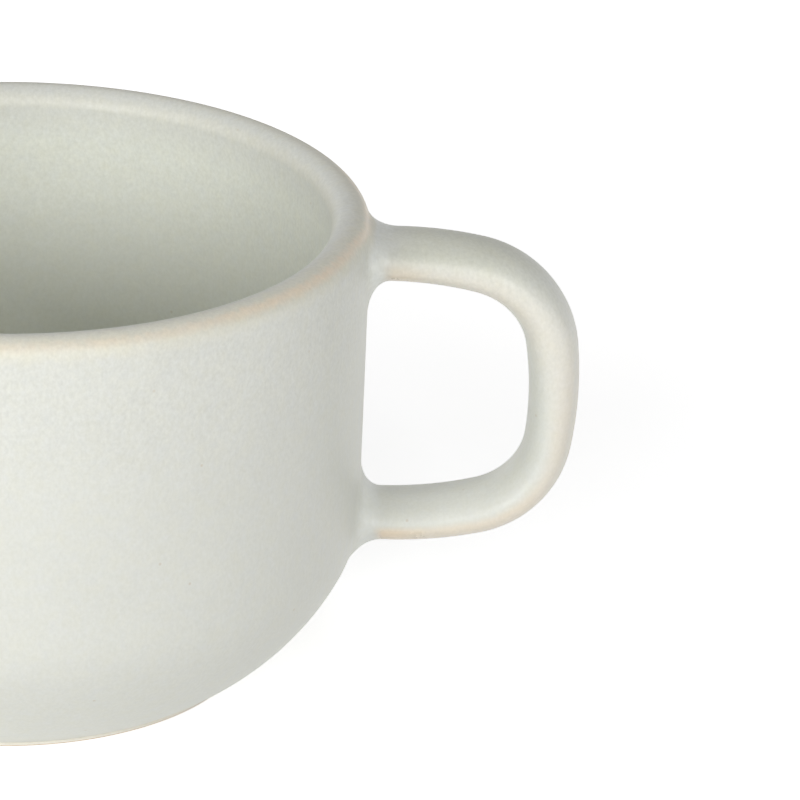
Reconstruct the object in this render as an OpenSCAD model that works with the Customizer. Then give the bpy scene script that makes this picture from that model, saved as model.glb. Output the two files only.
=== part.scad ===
// Stoneware tea cup with a loop handle.
// The origin is the centre of the foot ring's underside, +Z is up and the handle points along +X.
// The wall, floor and foot ring are one turned piece. The handle is formed apart and is luted to
// the leather-hard wall with slip, which stays round each root as a small collar.

/* [Cup] */
// Outside diameter at the rim
rim_d = 96; // [86:1:110]
// Height from the table to the top of the lip
cup_h = 63.6; // [56:0.2:80]
// Thickness of the wall at the rim, which the lip rounds over
lip_t = 5.2; // [4:0.1:6.4]
// How far the outside of the wall draws in from the rim down to the heel, on the radius
wall_draw = 0.65; // [0:0.05:2]
// Height at which the straight wall starts to turn in
heel_z = 21; // [17:0.5:26]
// Radius of the heel, where the wall turns into the belly
heel_r = 14; // [8:0.5:20]
// Angle that the wall turns through at the heel
heel_turn = 27; // [18:1:36]
// Thickness of the floor
floor_t = 4.5; // [3.5:0.1:6]
// Radius inside the cup between the wall and the floor
inside_r = 17.5; // [12:0.5:20]

/* [Foot ring] */
// Outside diameter of the foot ring
foot_d = 65.2; // [56:0.2:72]
// Height of the bare edge of the foot ring
foot_h = 0.6; // [0.4:0.1:1.5]
// Chamfer along the bottom edge of the foot ring
foot_edge = 0.25; // [0.1:0.05:0.35]
// Width of the foot ring that rests on the table
foot_w = 4.5; // [3:0.1:7]
// Depth of the recess under the floor
foot_recess = 2; // [1:0.1:3]

/* [Handle] */
// Distance from the top of the lip down to the centre of the upper root
handle_drop = 5.3; // [4.6:0.1:12]
// Distance from the level of the heel down to the centre of the lower root
heel_drop = 1.5; // [-6:0.1:4]
// Distance from the wall to the handle's outermost edge
handle_reach = 28.6; // [24:0.1:36]
// Angle by which each run closes in on the other away from the wall
handle_slope = 6; // [2:0.5:9]
// Centre-line radius of the two corners
corner_r = 13.5; // [10:0.1:15]
// Centre-line radius of the upright grip between the corners
grip_r = 56; // [40:1:90]
// Thickness of the oval section, in the plane of the loop
handle_t = 6.6; // [5:0.1:8]
// Width of the oval section, across the loop
handle_w = 11.2; // [8:0.1:14]

/* [Slip joints] */
// Radius of the hollow fillet round each root
joint_r = 2.8; // [1.5:0.1:4]
// Thickness of the slip at the edge of the joint
joint_edge = 0.25; // [0.15:0.05:0.5]
// Distance from the top of the lip down to the level at which the upper joint is wiped off
joint_drop = 0.9; // [0.6:0.1:1.6]

/* [Hidden] */
$fn = 128;
glaze = [0.90, 0.90, 0.86];
glaze_pool = [0.84, 0.87, 0.83];
over = 1;

// Straight stretches, and the flatter of two arcs, sit this far inside the arc that they run into,
// so that the two cross at one clean edge
tuck = 0.003;

// Wall: the straight run is tangent to the heel circle and to the lip circle. wall_at gives the
// outside radius at a height from the heel up.
rim_r = rim_d / 2;
lip_r = lip_t / 2;
lip_at = [rim_r - lip_r, cup_h - lip_r];
inner_r = rim_r - lip_t;
heel_at = [rim_r - wall_draw - heel_r, heel_z];
lip_from_heel = lip_at - heel_at;
wall_lean = atan2(lip_from_heel.y, lip_from_heel.x) - acos((heel_r - lip_r) / norm(lip_from_heel));
wall_normal = [cos(wall_lean), sin(wall_lean)];
wall_low = heel_at + (heel_r - tuck) * wall_normal;
wall_top = lip_at + (lip_r - tuck) * wall_normal;
function wall_at(z) = z > wall_low.y
    ? (wall_normal * wall_low - wall_normal.y * z) / wall_normal.x
    : heel_at.x + sqrt(heel_r ^ 2 - (z - heel_z) ^ 2);

// Belly: an arc that leaves the heel circle smoothly and ends on the foot ring's upper edge
foot_r = foot_d / 2;
foot_top = [foot_r, foot_h];
heel_ray = [cos(heel_turn), -sin(heel_turn)];
belly_top = heel_at + heel_r * heel_ray;
belly_drop = foot_top - belly_top;
belly_r = -(belly_drop * belly_drop) / (2 * heel_ray * belly_drop);
belly_at = belly_top - belly_r * heel_ray;
floor_z = foot_recess + floor_t;

// Handle: the centre line is a run, a corner, the upper half of the grip, and their mirror image.
// The corners are a hair fuller than their neighbours and overlap them, so the three meet in clean edges.
upper_root_z = cup_h - handle_drop;
lower_root_z = heel_z - heel_drop;
handle_z = (upper_root_z + lower_root_z) / 2;
handle_spread = upper_root_z - lower_root_z;
wall_r = wall_at(handle_z);
apex_x = wall_r + handle_reach - handle_t / 2;
grip_x = apex_x - grip_r;
corner_rise = (wall_r - grip_x) * sin(handle_slope) + handle_spread / 2 * cos(handle_slope) - corner_r;
grip_half = asin(corner_rise / (grip_r - corner_r)) - handle_slope;
corner_at = [grip_x + (grip_r - corner_r) * cos(grip_half), (grip_r - corner_r) * sin(grip_half)];
run_end_x = corner_at.x + corner_r * sin(handle_slope);
run_len = (run_end_x - wall_r) / cos(handle_slope);
corner_fuller = 0.02;
corner_lap = 0.2;

// Roots: both start inside the clay, the lower one deeper because the heel turns away from it.
// The fillet dips below the wall's surface, which curves away to both sides of the root.
function root_z(side) = side > 0 ? upper_root_z : lower_root_z;
function root_depth(side) = side > 0 ? lip_r : heel_r;
joint_dip = 0.3;

// Half of the cup's outside outline, solid to the axis, from the table to the lip
module outside() {
    polygon([
        [0, 0],
        [foot_r - foot_edge, 0],
        [foot_r, foot_edge],
        [foot_r, foot_h + over],
        [0, foot_h + over]
    ]);
    intersection() {
        translate(belly_at) circle(belly_r - tuck);
        translate([0, foot_edge]) square([rim_d, belly_top.y - foot_edge]);
    }
    translate(heel_at) circle(heel_r);
    polygon([
        [0, belly_top.y - over],
        [heel_at.x, belly_top.y - over],
        wall_low,
        wall_top,
        lip_at,
        [0, lip_at.y]
    ]);
}

module lip() {
    translate(lip_at) circle(lip_r);
}

// The hollow that holds the tea, open at the top
module inside() {
    hollow_r = inner_r + tuck;
    corner = [hollow_r + tuck - inside_r, floor_z - tuck + inside_r];
    polygon([
        [0, floor_z],
        [corner.x, floor_z],
        [hollow_r, corner.y],
        [hollow_r, cup_h + over],
        [0, cup_h + over]
    ]);
    translate(corner) circle(inside_r);
}

// The recess that leaves only the foot ring on the table
module under_recess() {
    edge_r = foot_r - foot_w;
    polygon([
        [0, -over],
        [edge_r, -over],
        [edge_r, 0],
        [edge_r - foot_recess, foot_recess],
        [0, foot_recess]
    ]);
}

// The cup as if it were solid, which trims the handle and the joints to the wall
module cup_blank() {
    rotate_extrude() {
        outside();
        lip();
    }
}

// Oval section of the handle, thin along X and wide along Y
module oval(fuller = 0) {
    scale([1, handle_w / handle_t]) circle(d = handle_t + fuller);
}

// Moves to a root on the wall, with Z along the run away from the wall. Side is 1 above and -1 below.
module at_root(side) {
    translate([wall_r, 0, root_z(side)])
        rotate([0, 90 + side * handle_slope, 0])
            children();
}

// Straight run of the handle, started inside the wall
module run(side) {
    at_root(side)
        translate([0, 0, -root_depth(side)])
            linear_extrude(root_depth(side) + run_len + corner_lap) oval();
}

// Piece of the loop turned about a point in its plane, between two angles from the horizontal
module bend(at, radius, from, to, fuller = 0) {
    translate([at.x, 0, handle_z + at.y])
        rotate([90, 0, 0])
            rotate([0, 0, from])
                rotate_extrude(angle = to - from)
                    translate([radius, 0]) oval(fuller);
}

module loop() {
    lap = atan(corner_lap / grip_r);
    run(1);
    bend(corner_at, corner_r, grip_half, 90 - handle_slope, corner_fuller);
    bend([grip_x, 0], grip_r, -grip_half - lap, grip_half + lap);
    bend([corner_at.x, -corner_at.y], corner_r, handle_slope - 90, -grip_half, corner_fuller);
    run(-1);
}

// Collar of slip round one root, hollow-filleted and trimmed to the handle and the wall
module slip_collar(side) {
    to_wall = (wall_at(root_z(side)) - wall_r) / cos(handle_slope);
    depth = root_depth(side);
    flange = handle_t / 2 + joint_edge + joint_r;
    reach = joint_r - joint_dip;
    widen = (handle_w / 2 + joint_edge + joint_r) / flange;
    difference() {
        at_root(side)
            translate([0, 0, to_wall])
                scale([1, widen, 1])
                    rotate_extrude()
                        difference() {
                            translate([0, -depth]) square([flange, depth + reach]);
                            translate([flange, reach]) circle(joint_r);
                        }
        run(side);
        cup_blank();
    }
}

module cup_body() {
    color(glaze)
        rotate_extrude() {
            difference() {
                outside();
                inside();
                under_recess();
            }
            lip();
        }
}

module handle() {
    color(glaze)
        difference() {
            loop();
            cup_blank();
        }
}

module upper_handle_joint() {
    wipe_z = cup_h - joint_drop;
    color(glaze_pool)
        intersection() {
            slip_collar(1);
            cylinder(h = wipe_z, r = rim_d);
        }
}

module lower_handle_joint() {
    color(glaze_pool) slip_collar(-1);
}

cup_body();
handle();
upper_handle_joint();
lower_handle_joint();
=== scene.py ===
# %% [markdown]
# # A stoneware tea cup
# The cup is dressed round its CAD frame, in metres and in the CAD's own place: the origin is the
# middle of the foot ring, Z is up and the handle points along +X. The frame is loaded first. A
# finished piece must not grow past it.

# %% Load the frame
import math

import bmesh
import bpy
from mathutils import Matrix, Vector
from mathutils.geometry import intersect_sphere_sphere_2d


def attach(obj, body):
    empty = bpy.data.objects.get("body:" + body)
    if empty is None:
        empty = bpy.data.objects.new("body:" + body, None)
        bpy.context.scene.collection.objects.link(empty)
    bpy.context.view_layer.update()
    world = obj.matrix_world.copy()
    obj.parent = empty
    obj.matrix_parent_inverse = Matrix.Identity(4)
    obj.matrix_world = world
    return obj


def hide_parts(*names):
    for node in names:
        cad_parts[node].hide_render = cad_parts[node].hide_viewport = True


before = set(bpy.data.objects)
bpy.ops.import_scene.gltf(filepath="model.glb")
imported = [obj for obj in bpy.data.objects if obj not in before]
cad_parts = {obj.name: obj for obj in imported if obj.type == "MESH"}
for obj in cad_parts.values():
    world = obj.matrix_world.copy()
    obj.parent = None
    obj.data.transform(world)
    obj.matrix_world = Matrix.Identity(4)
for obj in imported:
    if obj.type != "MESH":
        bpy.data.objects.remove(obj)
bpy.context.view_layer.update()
print("CAD nodes:", ", ".join(sorted(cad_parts)))

# %% [markdown]
# ## The camera
# The picture is a close crop of the right half of the cup, taken with a long lens from a little
# above the rim. A camera could be aimed with a constraint, but a pan, a tilt and a small roll
# applied one after the other say plainly how the tripod head stood.

# %% Set up the camera
camera_place = Vector((0.04187, -0.79890, 0.37714))
camera_pan = math.radians(0.756)
camera_tilt = math.radians(23.086)
camera_roll = math.radians(1.5)

camera_data = bpy.data.cameras.new("camera")
camera_data.sensor_width = 36
camera_data.lens = 293.2
camera = bpy.data.objects.new("camera", camera_data)
bpy.context.scene.collection.objects.link(camera)
camera_turn = (Matrix.Rotation(-camera_pan, 4, "Z")
               @ Matrix.Rotation(math.radians(90) - camera_tilt, 4, "X")
               @ Matrix.Rotation(camera_roll, 4, "Z"))
camera.matrix_world = Matrix.Translation(camera_place) @ camera_turn
bpy.context.scene.camera = camera
bpy.context.scene.view_settings.view_transform = "Standard"
print("Camera at", [round(v, 4) for v in camera_place], "with a lens of", camera_data.lens, "mm")

# %% [markdown]
# ## The sizes of the cup
# A turned cup is a few circles joined by lines: the lip is a full round, the wall is a line that
# leaves it smoothly, the heel is a tighter arc and the belly a wide one that runs down to the foot.
# The sizes are those of the CAD part, so that each dressed piece lies on its solid.

# %% Sizes of the body
MM = 0.001
hair = 0.02 * MM
rim_r = 48 * MM - hair
cup_h = 63.6 * MM - hair
lip_r = 2.6 * MM
wall_draw = 0.65 * MM
heel_z, heel_r = 21 * MM, 14 * MM
heel_turn = math.radians(27)
floor_z, inside_r = 6.5 * MM, 17.5 * MM
foot_r, foot_h, foot_w = 32.6 * MM, 0.6 * MM, 4.5 * MM
recess_h = 2 * MM

lip_at = Vector((rim_r - lip_r, cup_h - lip_r))
inner_r = rim_r - 2 * lip_r
heel_at = Vector((rim_r - wall_draw - heel_r, heel_z))
rise = lip_at - heel_at
wall_lean = math.atan2(rise.y, rise.x) - math.acos((heel_r - lip_r) / rise.length)
wall_out = Vector((math.cos(wall_lean), math.sin(wall_lean)))
heel_ray = Vector((math.cos(heel_turn), -math.sin(heel_turn)))
belly_top = heel_at + heel_r * heel_ray
belly_drop = Vector((foot_r, foot_h)) - belly_top
belly_r = -belly_drop.length_squared / (2 * heel_ray.dot(belly_drop))
belly_at = belly_top - belly_r * heel_ray
print("Wall leans", round(math.degrees(wall_lean), 2), "degrees, belly radius",
      round(belly_r / MM, 2), "mm")

# %% [markdown]
# ## Drawing an outline
# An outline can be typed in point by point, but a potter's template is drawn with a ruler and a
# compass. Two small helpers do the same to the last vertex of a bmesh: one extrudes it along a
# line, the other spins it round a centre. Positive angles turn clockwise as seen from the front.

# %% A ruler and a compass
def draw_line(bm, vert, r, z, steps=1):
    """Extrudes the outline's last vertex straight to a radius and a height."""
    stride = (Vector((r, 0, z)) - vert.co) / steps
    for _ in range(steps):
        vert = bmesh.ops.extrude_vert_indiv(bm, verts=[vert])["verts"][0]
        bmesh.ops.translate(bm, verts=[vert], vec=stride)
    return vert


def draw_arc(bm, vert, centre, angle, steps):
    """Spins the outline's last vertex round a centre in the outline's plane."""
    made = bmesh.ops.spin(bm, geom=[vert], cent=(centre.x, 0, centre.y), axis=(0, 1, 0),
                          angle=angle, steps=steps)
    return next(g for g in made["geom_last"] if isinstance(g, bmesh.types.BMVert))


def steepness(ray):
    """Angle of a direction in the outline's plane, measured clockwise from +X."""
    return math.atan2(-ray.y, ray.x)


# %% From a bmesh to a piece
def finish_piece(bm, name, node):
    """Turns a bmesh into a smooth piece that stands for a CAD node and rides with the cup."""
    bmesh.ops.recalc_face_normals(bm, faces=bm.faces)
    for face in bm.faces:
        face.smooth = True
    mesh = bpy.data.meshes.new(name)
    bm.to_mesh(mesh)
    bm.free()
    piece = bpy.data.objects.new(name, mesh)
    bpy.context.scene.collection.objects.link(piece)
    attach(piece, "root")
    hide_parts(node)
    print(name, "has", len(mesh.polygons), "faces")
    return piece


# %% [markdown]
# ## The body: foot, belly, wall and lip
# The body was turned on a wheel, so one outline says all of it. It starts under the floor, goes
# round the foot ring, up the outside, over the lip and down the inside. The foot ring's edges are
# softened with a sponge, and the belly runs into it with a small hollow, where glaze gathers.
# A spin then turns the outline into the cup.

# %% Draw the body's outline
ring_r = foot_r - foot_w
recess_soft, ring_soft, foot_soft = 3 * MM, 0.8 * MM, 0.25 * MM
bevel_turn = math.radians(45)
bevel_share = math.tan(bevel_turn / 2)
slant = Vector((math.cos(bevel_turn), -math.sin(bevel_turn)))

outline = bmesh.new()
inside_wall = outline.verts.layers.float.new("inside_wall")
tip = outline.verts.new((0, 0, recess_h))
recess_edge = ring_r - recess_h - recess_soft * bevel_share
tip = draw_line(outline, tip, recess_edge, recess_h, 6)
tip = draw_arc(outline, tip, Vector((recess_edge, recess_h - recess_soft)), bevel_turn, 6)
ring_start = Vector((ring_r, 0)) - ring_soft * bevel_share * slant
tip = draw_line(outline, tip, ring_start.x, ring_start.y, 2)
ring_flat = ring_r + ring_soft * bevel_share
tip = draw_arc(outline, tip, Vector((ring_flat, ring_soft)), -bevel_turn, 4)
tip = draw_line(outline, tip, foot_r - foot_soft, 0, 4)
tip = draw_arc(outline, tip, Vector((foot_r - foot_soft, foot_soft)), -math.radians(90), 5)
print("Foot ring drawn with", len(outline.verts), "points")

# %% Carry the outline up, over the lip and down inside
hollow_r = 0.4 * MM
hollow_x = foot_r + hollow_r
hollow_at = Vector((hollow_x, belly_at.y - math.sqrt(
    (belly_r + hollow_r) ** 2 - (hollow_x - belly_at.x) ** 2)))
hollow_ray = (hollow_at - belly_at).normalized()
tip = draw_line(outline, tip, foot_r, hollow_at.y)
tip = draw_arc(outline, tip, hollow_at, steepness(hollow_ray), 6)
tip = draw_arc(outline, tip, belly_at, heel_turn - steepness(hollow_ray), 40)
tip = draw_arc(outline, tip, heel_at, -wall_lean - heel_turn, 16)
wall_end = lip_at + lip_r * wall_out
tip = draw_line(outline, tip, wall_end.x, wall_end.y, 10)
tip = draw_arc(outline, tip, lip_at, wall_lean - math.radians(180), 36)
outside_verts = set(outline.verts)
tip = draw_line(outline, tip, inner_r, floor_z + inside_r, 8)
tip = draw_arc(outline, tip, Vector((inner_r - inside_r, floor_z + inside_r)), math.radians(90), 24)
tip = draw_line(outline, tip, 0, floor_z, 6)
for vert in set(outline.verts) - outside_verts:
    vert[inside_wall] = 1
print("Whole outline has", len(outline.verts), "points")

# %% Spin the outline into the cup
body_sides = 256
weld = 0.0005 * MM

bmesh.ops.spin(outline, geom=outline.verts[:] + outline.edges[:], cent=(0, 0, 0), axis=(0, 0, 1),
               angle=math.radians(360), steps=body_sides, use_merge=True)
bmesh.ops.remove_doubles(outline, verts=outline.verts, dist=weld)
body = finish_piece(outline, "cup_body_glazed", "cup_body")

# %% [markdown]
# ## The handle
# The handle was pulled from a strap of clay with an oval section, bent to a D and luted on. Each half
# of the D is an arch of three arcs: a run that hardly bends, a tight corner and a slack grip. The
# strap is not even: it swells towards the upper corner and is drawn thin at its roots. A curve with a
# bevel would do, but spinning the oval round each arc keeps its section true all the way.

# %% Sizes of the handle
upper_z, lower_z = 57.5 * MM, 20.3 * MM
handle_t, handle_w = 6.56 * MM, 11.2 * MM
strap_ts = [t * MM for t in (6.33, 6.79, 6.92, 6.36, 6.49, 6.17)]
handle_rise = math.radians(4)
run_r, grip_r = 51.5 * MM, 51 * MM
upper_corner_r, lower_corner_r = 12.9 * MM, 12.1 * MM
handle_reach = 28.5 * MM
handle_z = (upper_z + lower_z) / 2
wall_foot = heel_at + heel_r * wall_out
wall_r = (wall_out.dot(wall_foot) - wall_out.y * handle_z) / wall_out.x
apex_x = wall_r + handle_reach - handle_t / 2

run_at = Vector((wall_r, upper_z)) + run_r * Vector((math.sin(handle_rise), -math.cos(handle_rise)))
grip_at = Vector((apex_x - grip_r, handle_z))


def fit_corner(corner_r):
    """The corner that runs smoothly into run and grip: its centre, its first and its last angle."""
    crossings = intersect_sphere_sphere_2d(run_at, run_r - corner_r, grip_at, grip_r - corner_r)
    centre = max(crossings, key=lambda crossing: crossing.x)
    return centre, steepness(centre - run_at), steepness(centre - grip_at)


upper_at, upper_start, upper_end = fit_corner(upper_corner_r)
lower_at, lower_start, lower_end = fit_corner(lower_corner_r)
print("The corners bend by", round(math.degrees(upper_end - upper_start), 1), "and",
      round(math.degrees(lower_end - lower_start), 1), "degrees")

# %% The oval section, set on a root and moved along a run
OVAL_SIDES = 96
root_back = 2 * MM
run_start = math.radians(-90) - handle_rise - root_back / run_r
print("The oval has", OVAL_SIDES, "sides and starts", round(root_back / MM, 1), "mm inside the wall")


def mirrored(centre):
    """The centre of the matching arc in the other half of the handle."""
    return Vector((centre.x, 2 * handle_z - centre.y))


def root_point(side):
    """The middle of a root. Side is 1 above and -1 below."""
    return Vector((wall_r, 0, upper_z if side > 0 else lower_z))


def on_run(side, point, s):
    """Where a point of a root's section is after s along the run, as the strap swells."""
    centre = run_at if side > 0 else mirrored(run_at)
    root_t, far_t = strap_ts[:2] if side > 0 else strap_ts[:-3:-1]
    run_bend = (upper_start if side > 0 else lower_start) - run_start
    growth = (far_t / root_t) ** ((s + root_back) / (run_bend * run_r))
    pivot = Vector((centre.x, 0, centre.y))
    root = root_point(side)
    swollen = root + Matrix.Diagonal((growth, 1, growth)) @ (point - root)
    return pivot + Matrix.Rotation(side * s / run_r, 3, "Y") @ (swollen - pivot)


def root_oval(side):
    """A bmesh that holds the oval section of a root."""
    bm = bmesh.new()
    bmesh.ops.create_circle(bm, segments=OVAL_SIDES, radius=1)
    outer = bm.verts.layers.float.new("outer_side")
    for vert in bm.verts:
        vert[outer] = vert.co.x
    along = Vector((math.cos(handle_rise), 0, side * math.sin(handle_rise)))
    outward = Vector((-math.sin(handle_rise), 0, side * math.cos(handle_rise)))
    across = Vector((0, 1, 0))
    root_t = strap_ts[0] if side > 0 else strap_ts[-1]
    axes = Matrix((outward * root_t / 2, across * handle_w / 2, along)).transposed()
    bmesh.ops.transform(bm, verts=bm.verts, matrix=axes.to_4x4())
    bmesh.ops.translate(bm, verts=bm.verts, vec=root_point(side))
    return bm


# %% Sweep the oval round the loop
def turn_on(bm, edges, centre, angle, steps, swell):
    """Spins a loop of edges round a centre step by step, swelling it, and gives the last loop."""
    growth = swell ** (1 / steps)
    for _ in range(steps):
        verts = {v for e in edges for v in e.verts}
        made = bmesh.ops.spin(bm, geom=[*verts, *edges], cent=(centre.x, 0, centre.y), axis=(0, 1, 0),
                              angle=angle / steps, steps=1)
        edges = [g for g in made["geom_last"] if isinstance(g, bmesh.types.BMEdge)]
        ring = list({v for e in edges for v in e.verts})
        middle = sum((v.co for v in ring), Vector()) / len(ring)
        bmesh.ops.scale(bm, verts=ring, vec=(growth, 1, growth), space=Matrix.Translation(-middle))
    return edges


# %% Bend the handle
run_steps, corner_steps, grip_steps = 12, 28, 12

bends = [(run_at, upper_start - run_start, run_steps),
         (upper_at, upper_end - upper_start, corner_steps),
         (grip_at, -upper_end - lower_end, grip_steps),
         (mirrored(lower_at), lower_end - lower_start, corner_steps),
         (mirrored(run_at), lower_start - run_start, run_steps)]
loop = root_oval(1)
for vert in loop.verts:
    vert.co = on_run(1, vert.co, -root_back)
end = loop.edges[:]
for (centre, angle, steps), before, after in zip(bends, strap_ts, strap_ts[1:]):
    end = turn_on(loop, end, centre, angle, steps, after / before)
bmesh.ops.holes_fill(loop, edges=[e for e in loop.edges if e.is_boundary], sides=OVAL_SIDES)
handle = finish_piece(loop, "handle_glazed", "handle")

# %% [markdown]
# ## The slip joints
# Where the handle meets the wall, slip fills the corner and glaze pools over it, so the two flow
# into each other. A bevel on a boolean could do it, but it leaves a ragged seam on a round wall.
# Here a loop of the oval is extruded ring by ring, and each ring is laid on a smooth curve that
# leaves the handle along its run and lands flat on the wall. The edges dip under both surfaces.

# %% The outside of the cup, followed by arc length
wall_len = (wall_end - wall_foot).length
nudge = 0.01 * MM
print("The straight of the wall is", round(wall_len / MM, 1), "mm long")


def outside_point(s):
    """Radius and height of the outside, s along the outline from the foot of the straight wall."""
    if s < 0:
        angle = wall_lean + s / heel_r
        return heel_at + heel_r * Vector((math.cos(angle), math.sin(angle)))
    if s < wall_len:
        return wall_foot.lerp(wall_end, s / wall_len)
    angle = wall_lean + (s - wall_len) / lip_r
    return lip_at + lip_r * Vector((math.cos(angle), math.sin(angle)))


def outside_at(azimuth, s, sunk=0.0):
    """The point of the cup's outside at an azimuth and an arc length, sunk below the surface."""
    flat = outside_point(s)
    ahead = outside_point(s + nudge) - flat
    inward = Vector((-ahead.y, ahead.x)).normalized()
    flat = flat + sunk * inward
    return Vector((flat.x * math.cos(azimuth), flat.x * math.sin(azimuth), flat.y))


# %% Where the handle leaves the wall
search, halvings = 5 * MM, 40


def wall_place(point):
    """How far a point near the wall is outside it, and its arc length along the outline."""
    flat = Vector((math.hypot(point.x, point.y), point.z))
    if flat.y > lip_at.y:
        away = flat - lip_at
        return away.length - lip_r, wall_len + lip_r * (math.atan2(away.y, away.x) - wall_lean)
    if flat.y > wall_foot.y:
        return wall_out.dot(flat - wall_foot), (flat - wall_foot).length
    away = flat - heel_at
    return away.length - heel_r, heel_r * (math.atan2(away.y, away.x) - wall_lean)


def meet_wall(side, start):
    """How far along the run a point of a root's section leaves the wall."""
    near, far = -search, search
    for _ in range(halvings):
        middle = (near + far) / 2
        outside = wall_place(on_run(side, start, middle))[0] > 0
        near, far = (near, middle) if outside else (middle, far)
    return near


# %% The way from the handle to the wall
joint_rings = 22
dip = 0.04 * MM
overlap = 0.6 * MM
bury = 0.9 * MM
roundness = 0.56


def by_side(sizes, outer):
    """Blends three sizes: on the inside of the handle's loop, on its flanks and on its outside."""
    inside, flank, outside = sizes
    return flank + (inside - flank) * max(0.0, -outer) ** 2 + (outside - flank) * max(0.0, outer) ** 2


def joint_path(side, start, reach, spread):
    """The places of one point of the oval in every ring, from the handle over to the wall and back."""
    meet = meet_wall(side, start)
    corner = on_run(side, start, meet)
    azimuth, s = math.atan2(corner.y, corner.x), wall_place(corner)[1]
    root = root_point(side)
    inward = (root - start).normalized()
    slope = Vector((start.y / (handle_w / 2) ** 2,
                    (start.z - root.z) / (handle_t / 2) ** 2)).normalized()

    def on_wall(far, sunk=0.0):
        return outside_at(azimuth + slope.x * far / rim_r, s + slope.y * far, sunk)

    lift = on_run(side, start, meet + reach)
    ahead = (on_run(side, start, meet + reach + hair) - lift).normalized()
    landing = on_wall(spread)
    slide = (landing - on_wall(spread - hair)).normalized()
    a, b, c, d = lift, lift - ahead * reach * roundness, landing - slide * spread * roundness, landing
    handle_end = on_run(side, start, meet + reach + overlap)
    path = [handle_end + inward * dip]
    for k in range(joint_rings + 1):
        t = 0.5 - 0.5 * math.cos(math.pi * k / joint_rings)
        path.append((1 - t) ** 3 * a + 3 * t * (1 - t) ** 2 * b + 3 * t * t * (1 - t) * c + t ** 3 * d)
    path += [on_wall(spread + overlap, dip), on_wall(spread + overlap, bury)]
    path += [on_run(side, start, meet - bury) + inward * bury, handle_end + inward * bury]
    return path


# %% Extrude a slip joint ring by ring
def slip_joint(side, reaches, spreads):
    """A collar round one root, with sharp edges where it is buried.

    Reaches run along the handle and spreads over the wall: inside the loop, on its flanks and outside.
    """
    bm = root_oval(side)
    outer = bm.verts.layers.float["outer_side"]
    loops = [bm.verts[:]]
    paths = [joint_path(side, v.co.copy(), by_side(reaches, v[outer]), by_side(spreads, v[outer]))
             for v in loops[0]]
    first = edges = bm.edges[:]
    for _ in paths[0][1:]:
        made = bmesh.ops.extrude_edge_only(bm, edges=edges)["geom"]
        edges = [g for g in made if isinstance(g, bmesh.types.BMEdge) and g.is_boundary]
        fresh = {g for g in made if isinstance(g, bmesh.types.BMVert)}
        loops.append([next(e.other_vert(v) for e in v.link_edges if e.other_vert(v) in fresh)
                      for v in loops[-1]])
    for verts, spots in zip(loops, zip(*paths)):
        for vert, spot in zip(verts, spots):
            vert.co = spot
    bmesh.ops.bridge_loops(bm, edges=first + edges)
    for verts in loops[-4:] + loops[:1]:
        members = set(verts)
        for edge in bm.edges:
            if members.issuperset(edge.verts):
                edge.smooth = False
    return bm


# %% Make both joints
upper_reaches, upper_spreads = (3.2 * MM, 3.0 * MM, 4.0 * MM), (5.2 * MM, 3.2 * MM, 1.7 * MM)
lower_reaches, lower_spreads = (3.0 * MM, 3.0 * MM, 3.4 * MM), (4.4 * MM, 3.2 * MM, 4.6 * MM)

upper_joint = finish_piece(slip_joint(1, upper_reaches, upper_spreads),
                           "upper_joint_glazed", "upper_handle_joint")
lower_joint = finish_piece(slip_joint(-1, lower_reaches, lower_spreads),
                           "lower_joint_glazed", "lower_handle_joint")

# %% [markdown]
# ## Tools for the finishes
# A finish is a tree of nodes. Typed out one by one it is hard to read, so a few small helpers add a
# node, do a sum, make a soft mask and open a group. A socket given as an input is linked, a number is
# set. Drawing the trees by hand would look the same, but a helper's name says what a node is for.

# %% Helpers for single nodes
def put(tree, kind, inputs=None, **settings):
    """Adds a node to a tree, sets it up and links or fills its inputs."""
    node = tree.nodes.new(kind)
    for name, value in settings.items():
        setattr(node, name, value)
    for key, value in (inputs or {}).items():
        if isinstance(value, bpy.types.NodeSocket):
            tree.links.new(value, node.inputs[key])
        else:
            node.inputs[key].default_value = value
    return node


def calc(tree, operation, *values):
    """The result of one sum on sockets or numbers."""
    return put(tree, "ShaderNodeMath", dict(enumerate(values)), operation=operation).outputs[0]


def times(tree, first, *others):
    """The product of several masks."""
    for other in others:
        first = calc(tree, "MULTIPLY", first, other)
    return first


def length(tree, a, b):
    """The length of a step that goes a one way and b square to it."""
    return calc(tree, "SQRT", calc(tree, "MULTIPLY_ADD", a, a, calc(tree, "MULTIPLY", b, b)))


def fade(tree, value, none_at, full_at, strength=1.0):
    """A soft mask that is 0 where a value reaches none_at and strength where it reaches full_at."""
    inputs = {"Value": value, "From Min": none_at, "From Max": full_at, "To Max": strength}
    node = put(tree, "ShaderNodeMapRange", inputs, interpolation_type="SMOOTHSTEP")
    return node.outputs["Result"]


def noise(tree, point, scale, detail, grain=0.5):
    """A cloudy value from 0 to 1. Grain is how strong its fine clouds are beside its coarse ones."""
    inputs = {"Vector": point, "Scale": scale, "Detail": detail, "Roughness": grain}
    return put(tree, "ShaderNodeTexNoise", inputs).outputs["Fac"]


def painted(tree, name):
    """A value stored on the mesh, which is 0 on a piece that has none."""
    return put(tree, "ShaderNodeAttribute", attribute_name=name).outputs["Fac"]


def mix_colours(tree, mask, below, above):
    """The colour below where a mask is 0, and the colour above where it is 1."""
    node = put(tree, "ShaderNodeMix", {0: mask, 6: below, 7: above}, data_type="RGBA")
    return node.outputs[2]


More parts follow.
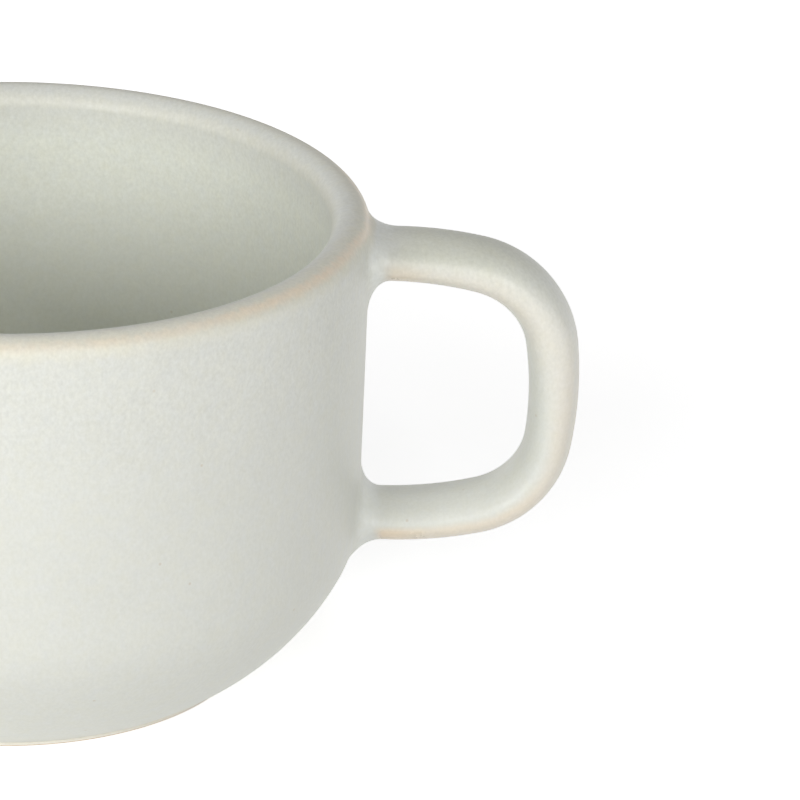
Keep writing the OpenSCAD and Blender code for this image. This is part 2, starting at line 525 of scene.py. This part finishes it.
# %% Helpers for node groups
def new_group(name, inputs, outputs):
    """A shader node group with named sockets: inputs with their values, outputs with their kinds."""
    group = bpy.data.node_groups.new(name, "ShaderNodeTree")
    for label, value in inputs.items():
        socket = group.interface.new_socket(name=label, in_out="INPUT", socket_type="NodeSocketFloat")
        socket.default_value = value
    for label, kind in outputs.items():
        group.interface.new_socket(name=label, in_out="OUTPUT", socket_type="NodeSocket" + kind)
    return group, group.nodes.new("NodeGroupInput").outputs, group.nodes.new("NodeGroupOutput").inputs


def use_group(tree, group, inputs=None):
    """Places a group in a tree and gives its outputs."""
    return put(tree, "ShaderNodeGroup", inputs, node_tree=group).outputs


# %% [markdown]
# ## Where on the cup
# A glaze behaves by place: it runs thin over edges and gathers in corners. Every piece sits at the
# origin, so Object coordinates are the same millimetres on all four, and a mask made from them
# carries on over a seam without a step. Painted vertex masks would have to be matched by hand.

# %% Places on the cup
places, _, out = new_group("places on the cup", {}, {
    "Point": "Vector", "Along": "Float", "Across": "Float", "Height": "Float", "Radius": "Float",
    "Lip Angle": "Float"})
metres = put(places, "ShaderNodeTexCoord").outputs["Object"]
point = put(places, "ShaderNodeVectorMath", {0: metres, "Scale": 1 / MM}, operation="SCALE").outputs[0]
x, y, z = put(places, "ShaderNodeSeparateXYZ", {0: point}).outputs
radius = length(places, x, y)
past_lip = calc(places, "SUBTRACT", radius, lip_at.x / MM)
over_lip = calc(places, "SUBTRACT", z, lip_at.y / MM)
lip_angle = calc(places, "DEGREES", calc(places, "ARCTAN2", past_lip, over_lip))
for label, value in {"Point": point, "Along": x, "Across": y, "Height": z, "Radius": radius,
                     "Lip Angle": lip_angle}.items():
    places.links.new(value, out[label])
print(places.name, "has", len(places.nodes), "nodes")

# %% Distance from the crease round a root
crease, given, out = new_group("crease round a root", {
    "Root Height": upper_z / MM, "Wall Radius": wall_r / MM}, {"Distance": "Float"})
place = use_group(crease, places)
up = calc(crease, "SUBTRACT", place["Height"], given["Root Height"])
straight = length(crease, up, place["Across"])
wide = calc(crease, "DIVIDE", place["Across"], handle_w / 2 / MM)
tall = calc(crease, "DIVIDE", up, handle_t / 2 / MM)
share = calc(crease, "SUBTRACT", 1.0, calc(crease, "DIVIDE", 1.0, length(crease, wide, tall)))
beside = calc(crease, "MAXIMUM", times(crease, straight, share), 0.0)
off_wall = calc(crease, "SUBTRACT", place["Radius"], given["Wall Radius"])
crease.links.new(length(crease, beside, off_wall), out["Distance"])
print(crease.name, "has", len(crease.nodes), "nodes")

# %% [markdown]
# ## Pooled glaze and thin glaze
# On the real cup the pale glaze gathers cool and paler in the creases round the handle's roots. Along
# the lip's shoulder it breaks to a tan line with a straw-coloured skirt, and it turns tan on the
# handle's undersides and at the foot. Two groups turn the places into those masks, in millimetres
# and in degrees round the lip. Noise moves their edges, as no glaze line is even.

# %% The mask of pooled glaze
crease_places = ((upper_z / MM, 48.9), (lower_z / MM, 48.4))
pool_edge, pool_full, pool_strength, pool_wander = 2.5, 0.6, 0.75, 1.4

pooled, _, out = new_group("pooled glaze", {}, {"Mask": "Float"})
place = use_group(pooled, places)
nearest = calc(pooled, "MINIMUM", *(
    use_group(pooled, crease, {"Root Height": height, "Wall Radius": wall})["Distance"]
    for height, wall in crease_places))
nearest = calc(pooled, "MULTIPLY_ADD", noise(pooled, place["Point"], 0.7, 2.0), pool_wander,
               calc(pooled, "SUBTRACT", nearest, pool_wander / 2))
handle_side = fade(pooled, place["Along"], 0.0, 20.0)
pool_mask = times(pooled, fade(pooled, nearest, pool_edge, pool_full, pool_strength), handle_side)
pooled.links.new(pool_mask, out["Mask"])
print(pooled.name, "has", len(pooled.nodes), "nodes")

# %% The line along the lip's shoulder
line_at, line_lower_by_handle, line_higher_on_sides, line_jitter = 46.0, 18.0, 7.0, 20.0

thin, given, out = new_group("thin glaze", {"Pooled": 0.0}, {"Mask": "Float", "Skirt": "Float"})
place = use_group(thin, places)
sideways = calc(thin, "ABSOLUTE", place["Across"])
patchy, ragged = noise(thin, place["Point"], 0.3, 2.0), noise(thin, place["Point"], 0.9, 3.0)
jitter = calc(thin, "MULTIPLY_ADD", ragged, line_jitter, -line_jitter / 2)
angle = calc(thin, "ADD", place["Lip Angle"], jitter)
by_handle = fade(thin, sideways, 12.0, 3.0, line_lower_by_handle)
on_sides = fade(thin, sideways, 46.0, 36.0, line_higher_on_sides)
line_angle = calc(thin, "ADD", calc(thin, "SUBTRACT", by_handle, on_sides), line_at)
past_line = calc(thin, "SUBTRACT", angle, line_angle)
on_lip = fade(thin, place["Radius"], 49.0, 48.3)
print("The line lies", line_at, "degrees past the lip's top")

# %% Thin glaze on the lip
patchy_share, ragged_share, unbroken = 0.6, 0.5, 0.22
skirt_least, skirt_more, inner_line = 0.45, 0.7, 67.0

# Strong on the near side of the handle, weaker beside it and on the far side.
strength = calc(thin, "MULTIPLY_ADD", patchy, patchy_share, times(thin, ragged, ragged_share))
strength = calc(thin, "ADD", strength, fade(thin, place["Across"], -48.0, -26.0, 0.45))
strength = calc(thin, "SUBTRACT", strength, fade(thin, place["Across"], -10.0, -2.0, 0.1))
strength = calc(thin, "SUBTRACT", strength, fade(thin, place["Across"], 4.0, 22.0, 0.3))
strength = calc(thin, "SUBTRACT", strength, unbroken)
shoulder = times(thin, fade(thin, past_line, -26.0, 0.0), fade(thin, past_line, 30.0, 2.0),
                 strength, on_lip)
skirt = times(thin, fade(thin, past_line, -75.0, -20.0), fade(thin, past_line, 70.0, 12.0),
              calc(thin, "MULTIPLY_ADD", patchy, skirt_more, skirt_least))
from_inner = calc(thin, "ABSOLUTE", calc(thin, "ADD", angle, inner_line))
skirt = calc(thin, "MAXIMUM", skirt, fade(thin, from_inner, 34.0, 4.0, 0.35))
thin.links.new(times(thin, skirt, on_lip), out["Skirt"])
print("With its lip,", thin.name, "has", len(thin.nodes), "nodes")

# %% Thin glaze at the foot and on the handle
near_wall = 47.9
lean_at_foot, lean_per_mm = 2.5, -0.052

edge = times(thin, fade(thin, place["Height"], 1.0, 0.4, 0.3), fade(thin, place["Radius"], 34.0, 33.4))
off_wall = calc(thin, "SUBTRACT", place["Radius"], near_wall)
outer = painted(thin, "outer_side")
below_middle = calc(thin, "MULTIPLY_ADD", place["Height"], lean_per_mm, lean_at_foot)
downward = fade(thin, times(thin, outer, below_middle), -0.3, 0.3)
flank = times(thin, fade(thin, sideways, 1.6, 4.6), downward)
by_root = times(thin, fade(thin, off_wall, 0.8, 2.8), fade(thin, off_wall, 9.5, 4.0, 0.4))
lower = calc(thin, "ADD", fade(thin, place["Height"], 30.0, 22.0, 0.22), 0.38)
along = calc(thin, "MULTIPLY_ADD", fade(thin, off_wall, 1.2, 3.0), lower, by_root)
worn = times(thin, fade(thin, outer, -0.2, 0.8, 0.3), fade(thin, place["Height"], 54.0, 34.0),
             fade(thin, off_wall, 2.0, 4.0))
mask = shoulder
for more in (edge, times(thin, flank, along), worn):
    mask = calc(thin, "MAXIMUM", mask, more)
thin.links.new(times(thin, mask, calc(thin, "SUBTRACT", 1.0, given["Pooled"])), out["Mask"])
print(thin.name, "has", len(thin.nodes), "nodes")

# %% [markdown]
# ## The matt glaze
# Close up, the glaze is not one colour. It is full of fine flecks, a little taller than wide and
# strongest below the rim, it clouds a little over the whole cup, and a few specks of iron burnt
# through. A photo of a glaze could be wrapped round the cup, but noise has no seam and no end. One
# group holds the flecks and clouds, with painted shade on the handle's top and painted light inside
# its loop, and one the specks, and every glazed finish uses both.

# %% Flecks, streaks and clouds
fleck_stretch = (1.0, 1.0, 0.8)
fleck_share, fleck_more = 0.12, 0.1
streak_share, streak_more = 0.03, 0.02
drift_share = 0.03

mottle_and_shade, _, out = new_group("streaks, clouds, painted shade and light", {}, {"Tone": "Vector", "Height": "Float"})
place = use_group(mottle_and_shade, places)


def cloud(point, scale, detail):
    """Noise round zero, with its fine grains nearly as strong as its coarse ones."""
    return calc(mottle_and_shade, "SUBTRACT", noise(mottle_and_shade, point, scale, detail, grain=0.7), 0.5)


stretch = put(mottle_and_shade, "ShaderNodeMapping", {"Vector": place["Point"], "Scale": fleck_stretch})
upright = stretch.outputs[0]
flecks, streaks = cloud(upright, 2.0, 1.0), cloud(upright, 0.6, 1.0)
yellow, drift = cloud(place["Point"], 0.5, 2.0), cloud(place["Point"], 0.08, 1.0)
near_rim = fade(mottle_and_shade, place["Height"], 36.0, 57.0)
fleck_level = calc(mottle_and_shade, "MULTIPLY_ADD", near_rim, fleck_more, fleck_share)
streak_level = calc(mottle_and_shade, "MULTIPLY_ADD", near_rim, streak_more, streak_share)
tone = 1.0
for pattern, level in ((flecks, fleck_level), (streaks, streak_level), (drift, drift_share)):
    tone = calc(mottle_and_shade, "MULTIPLY_ADD", pattern, level, tone)
mottle_and_shade.links.new(calc(mottle_and_shade, "ADD", flecks, streaks), out["Height"])
print("With its flecks,", mottle_and_shade.name, "has", len(mottle_and_shade.nodes), "nodes")

# %% Painted shade on the handle's top and painted light inside its loop
top_shade, top_yellower, loop_light = -0.1, -0.06, 0.045
fleck_blue, yellow_blue, yellow_red = 0.025, -0.09, 0.02

outer = painted(mottle_and_shade, "outer_side")
# Painted shade: the top of the upper run is made darker and a little yellower, in place of the light
# that hardly reaches it from above.
shade_on_top = times(mottle_and_shade, fade(mottle_and_shade, outer, -0.2, 0.6), fade(mottle_and_shade, place["Height"], 48.0, 57.0),
               fade(mottle_and_shade, place["Radius"], 50.0, 54.0), fade(mottle_and_shade, place["Radius"], 74.0, 62.0))
# Painted light: the inner side of the loop is made paler, in place of more light falling on that side.
light_in_loop = times(mottle_and_shade, fade(mottle_and_shade, outer, -0.2, -0.6), fade(mottle_and_shade, place["Height"], 52.0, 44.0),
                fade(mottle_and_shade, place["Height"], 17.0, 23.0))
tone = times(mottle_and_shade, tone, calc(mottle_and_shade, "MULTIPLY_ADD", shade_on_top, top_shade, 1.0),
             calc(mottle_and_shade, "MULTIPLY_ADD", light_in_loop, loop_light, 1.0))
bluish = 1.0
for pattern, level in ((flecks, fleck_blue), (yellow, yellow_blue), (shade_on_top, top_yellower)):
    bluish = calc(mottle_and_shade, "MULTIPLY_ADD", pattern, level, bluish)
reddish = calc(mottle_and_shade, "MULTIPLY_ADD", yellow, yellow_red, 1.0)
tint = put(mottle_and_shade, "ShaderNodeCombineXYZ", {
    0: times(mottle_and_shade, tone, reddish), 1: tone, 2: times(mottle_and_shade, tone, bluish)})
mottle_and_shade.links.new(tint.outputs[0], out["Tone"])
print(mottle_and_shade.name, "has", len(mottle_and_shade.nodes), "nodes")

# %% Iron specks
specks, given, out = new_group("iron specks", {"Spacing": 4.5, "Size": 0.3}, {"Mask": "Float"})
place = use_group(specks, places)
density = calc(specks, "DIVIDE", 1.0, given["Spacing"])
cells = put(specks, "ShaderNodeTexVoronoi", {"Vector": place["Point"], "Scale": density})
shape = calc(specks, "DIVIDE", cells.outputs["Distance"], times(specks, given["Size"], density))
chance = put(specks, "ShaderNodeSeparateColor", {0: cells.outputs["Color"]}).outputs[0]
kept = fade(specks, chance, 0.35, 0.75)
specks.links.new(times(specks, fade(specks, shape, 1.0, 0.2), kept), out["Mask"])
print(specks.name, "has", len(specks.nodes), "nodes")

# %% [markdown]
# ## The finishes
# The glazed finish is a Principled shader: the groups give its colour, its roughness and a faint
# bump, and all else stays as the shader has it. The slip joints carry the same glaze, which pooled
# there, under a name of their own. Dull bare clay shows only where the foot ring was wiped, so it is
# a finish of its own on those faces rather than one more mask.

# %% Colours of glaze and clay
GLAZE = (0.70, 0.708, 0.652, 1)
# The inside glaze: its greener tint is its own, and it is also made lighter than the outside glaze as
# painted light on the inside wall.
INSIDE_TINT_AND_LIGHT = (0.787, 0.803, 0.725, 1)
STRAW = (0.735, 0.717, 0.605, 1)
# The thin glaze's tan is its own colour, but it is also made lighter than the glaze as a painted
# highlight on the lip's shoulder.
TAN_AND_HIGHLIGHT = (0.825, 0.705, 0.55, 1)
POOL = (0.78, 0.797, 0.757, 1)
IRON = (0.46, 0.34, 0.18, 1)
DARK_SAND, PALE_SAND = (0.50, 0.37, 0.25, 1), (0.62, 0.49, 0.35, 1)
print("The glaze is", GLAZE[:3], "outside and", INSIDE_TINT_AND_LIGHT[:3], "inside")

# %% Glazed finishes
matt = 0.42
dent_depth, dent_strength, speck_dent = 0.1 * MM, 0.08, -0.5
scorch_share, speck_share = 0.3, 0.32


def glazed(name):
    """A material with the cup's matt glaze."""
    material = bpy.data.materials.new(name)
    material.use_nodes = True
    tree = material.node_tree
    shader = tree.nodes["Principled BSDF"]
    pool = use_group(tree, pooled)["Mask"]
    thinned = use_group(tree, thin, {"Pooled": pool})
    skirt, bare = thinned["Skirt"], thinned["Mask"]
    cloudy_and_shade = use_group(tree, mottle_and_shade)
    speck = use_group(tree, specks)["Mask"]
    scorch = use_group(tree, specks, {"Spacing": 2.2, "Size": 0.35})["Mask"]
    scorch = times(tree, scorch, fade(tree, bare, 0.4, 0.7, scorch_share), skirt)

    # Painted light: the inside wall takes the lighter inside colour as well as its greener tint.
    colour = mix_colours(tree, painted(tree, "inside_wall"), GLAZE, INSIDE_TINT_AND_LIGHT)
    # The tan mixed in here carries a painted highlight as well as the thin glaze's own tan.
    for mask, above in ((pool, POOL), (skirt, STRAW), (bare, TAN_AND_HIGHLIGHT)):
        colour = mix_colours(tree, mask, colour, above)
    # The tone carries the flecks and clouds, and also the painted shade on the handle's top and the
    # painted light inside its loop.
    toned = put(tree, "ShaderNodeVectorMath", {0: colour, 1: cloudy_and_shade["Tone"]}, operation="MULTIPLY")
    colour = mix_colours(tree, scorch, toned.outputs[0], IRON)
    colour = mix_colours(tree, times(tree, speck, speck_share), colour, IRON)
    tree.links.new(colour, shader.inputs["Base Color"])

    gloss = matt
    for mask, change in ((pool, -0.06), (skirt, 0.1), (bare, -0.2), (cloudy_and_shade["Height"], 0.06)):
        gloss = calc(tree, "MULTIPLY_ADD", mask, change, gloss)
    tree.links.new(gloss, shader.inputs["Roughness"])

    dents = calc(tree, "MULTIPLY_ADD", speck, speck_dent, cloudy_and_shade["Height"])
    bump = put(tree, "ShaderNodeBump", {
        "Height": dents, "Strength": dent_strength, "Distance": dent_depth})
    tree.links.new(bump.outputs["Normal"], shader.inputs["Normal"])
    print(name, "has", len(tree.nodes), "nodes")
    return material


stoneware_glaze = glazed("stoneware_glaze")
pooled_glaze = glazed("pooled_glaze")

# %% Bare clay
clay_shine, clay_matt, clay_matt_more = 0.3, 0.75, 0.15
grain_depth, grain_strength = 0.1 * MM, 0.3
grog_share = 0.5

bare_clay = bpy.data.materials.new("bare_clay")
bare_clay.use_nodes = True
tree = bare_clay.node_tree
shader = tree.nodes["Principled BSDF"]
shader.inputs["Specular IOR Level"].default_value = clay_shine
sand = noise(tree, use_group(tree, places)["Point"], 2.6, 4.0)
colour = mix_colours(tree, fade(tree, sand, 0.3, 0.7), DARK_SAND, PALE_SAND)
grog = use_group(tree, specks, {"Spacing": 1.6, "Size": 0.3})["Mask"]
colour = mix_colours(tree, times(tree, grog, grog_share), colour, IRON)
tree.links.new(colour, shader.inputs["Base Color"])
gloss = calc(tree, "MULTIPLY_ADD", sand, clay_matt_more, clay_matt)
tree.links.new(gloss, shader.inputs["Roughness"])
bump = put(tree, "ShaderNodeBump", {
    "Height": sand, "Strength": grain_strength, "Distance": grain_depth})
tree.links.new(bump.outputs["Normal"], shader.inputs["Normal"])
print(bare_clay.name, "has", len(tree.nodes), "nodes")

# %% Give each piece its finish
wiped_h = 0.21 * MM

for piece in (body, handle):
    piece.data.materials.append(stoneware_glaze)
for piece in (upper_joint, lower_joint):
    piece.data.materials.append(pooled_glaze)
body.data.materials.append(bare_clay)
for face in body.data.polygons:
    if face.center.z < wiped_h:
        face.material_index = 1
print("Bare faces on the foot ring:", sum(f.material_index for f in body.data.polygons))

# %% [markdown]
# ## Floor, light and background
# The cup stands on white paper under a dim even sky, in soft light from both sides of the camera and
# a little from behind. Stronger lamps would whiten the paper and wash out the glaze with it. So the
# paper is lit like anything else, and for the eye alone a glow is added to it, weaker beside the
# cup, where its shadow falls, and stronger far away. The sky is white to the eye alone as well.

# %% Floor
floor_half, floor_drop = 3, 0.02 * MM

floor_bm = bmesh.new()
bmesh.ops.create_grid(floor_bm, x_segments=1, y_segments=1, size=floor_half)
bmesh.ops.translate(floor_bm, verts=floor_bm.verts, vec=(0, 0, -floor_drop))
floor_mesh = bpy.data.meshes.new("floor")
floor_bm.to_mesh(floor_mesh)
floor_bm.free()
floor = bpy.data.objects.new("floor", floor_mesh)
bpy.context.scene.collection.objects.link(floor)
print("Floor is", tuple(round(v, 2) for v in floor.dimensions), "m")

# %% White paper
paper_white = (0.9, 0.9, 0.9, 1)
glow_beside, glow_added = 0.6, 0.45
glow_starts, glow_full = 0.1, 0.35


def seen(tree):
    """A mask that is 1 for the eye, also by way of a shine or through glass, and 0 for lighting."""
    path = put(tree, "ShaderNodeLightPath").outputs
    return calc(tree, "MAXIMUM", path["Is Camera Ray"], calc(
        tree, "MAXIMUM", path["Is Glossy Ray"], path["Is Transmission Ray"]))


paper = bpy.data.materials.new("white_paper")
paper.use_nodes = True
tree = paper.node_tree
tree.nodes.remove(tree.nodes["Principled BSDF"])
away = put(tree, "ShaderNodeVectorMath", {0: put(tree, "ShaderNodeTexCoord").outputs["Object"]},
           operation="LENGTH").outputs["Value"]
level = calc(tree, "ADD", fade(tree, away, glow_starts, glow_full, glow_added), glow_beside)
lit = put(tree, "ShaderNodeBsdfDiffuse", {"Color": paper_white})
glow = put(tree, "ShaderNodeEmission", {"Strength": times(tree, seen(tree), level)})
both = put(tree, "ShaderNodeAddShader", {0: lit.outputs[0], 1: glow.outputs[0]})
tree.links.new(both.outputs[0], tree.nodes["Material Output"].inputs["Surface"])
floor.data.materials.append(paper)
print(paper.name, "has", len(tree.nodes), "nodes")

# %% Sky
sky_light = 0.14

world = bpy.data.worlds.new("studio")
world.use_nodes = True
bpy.context.scene.world = world
tree = world.node_tree
sky = tree.nodes["Background"]
sky.inputs["Color"].default_value = (1, 1, 1, 1)
tree.links.new(calc(tree, "MAXIMUM", seen(tree), sky_light), sky.inputs["Strength"])
print("The sky lights the cup at", sky_light)

# %% Lamps
cup_middle = Vector((0, 0, 0.035))


def softbox(name, azimuth, elevation, watts, size=0.45, distance=1.2):
    """A square area lamp that faces the cup. Azimuth 0 is the handle's side, -90 the camera's."""
    lamp = bpy.data.lights.new(name, "AREA")
    lamp.size, lamp.energy = size, watts
    holder = bpy.data.objects.new(name, lamp)
    holder.visible_camera = False
    bpy.context.scene.collection.objects.link(holder)
    a, e = math.radians(azimuth), math.radians(elevation)
    ray = Vector((math.cos(a) * math.cos(e), math.sin(a) * math.cos(e), math.sin(e)))
    holder.location = cup_middle + distance * ray
    holder.rotation_euler = (-ray).to_track_quat("-Z", "Y").to_euler()
    print(name, watts, "W")


softbox("front_right", -60, 22, 3.6)
softbox("front", -90, 22, 2.1)
softbox("front_left", -120, 12, 6.0)
softbox("back_left", 120, 12, 0.5)
softbox("left", -150, 22, 2.1)
softbox("high_back", 90, 60, 0.32, size=0.3, distance=0.5)
softbox("near_right", -10, 3, 0.037, size=0.08, distance=0.22)
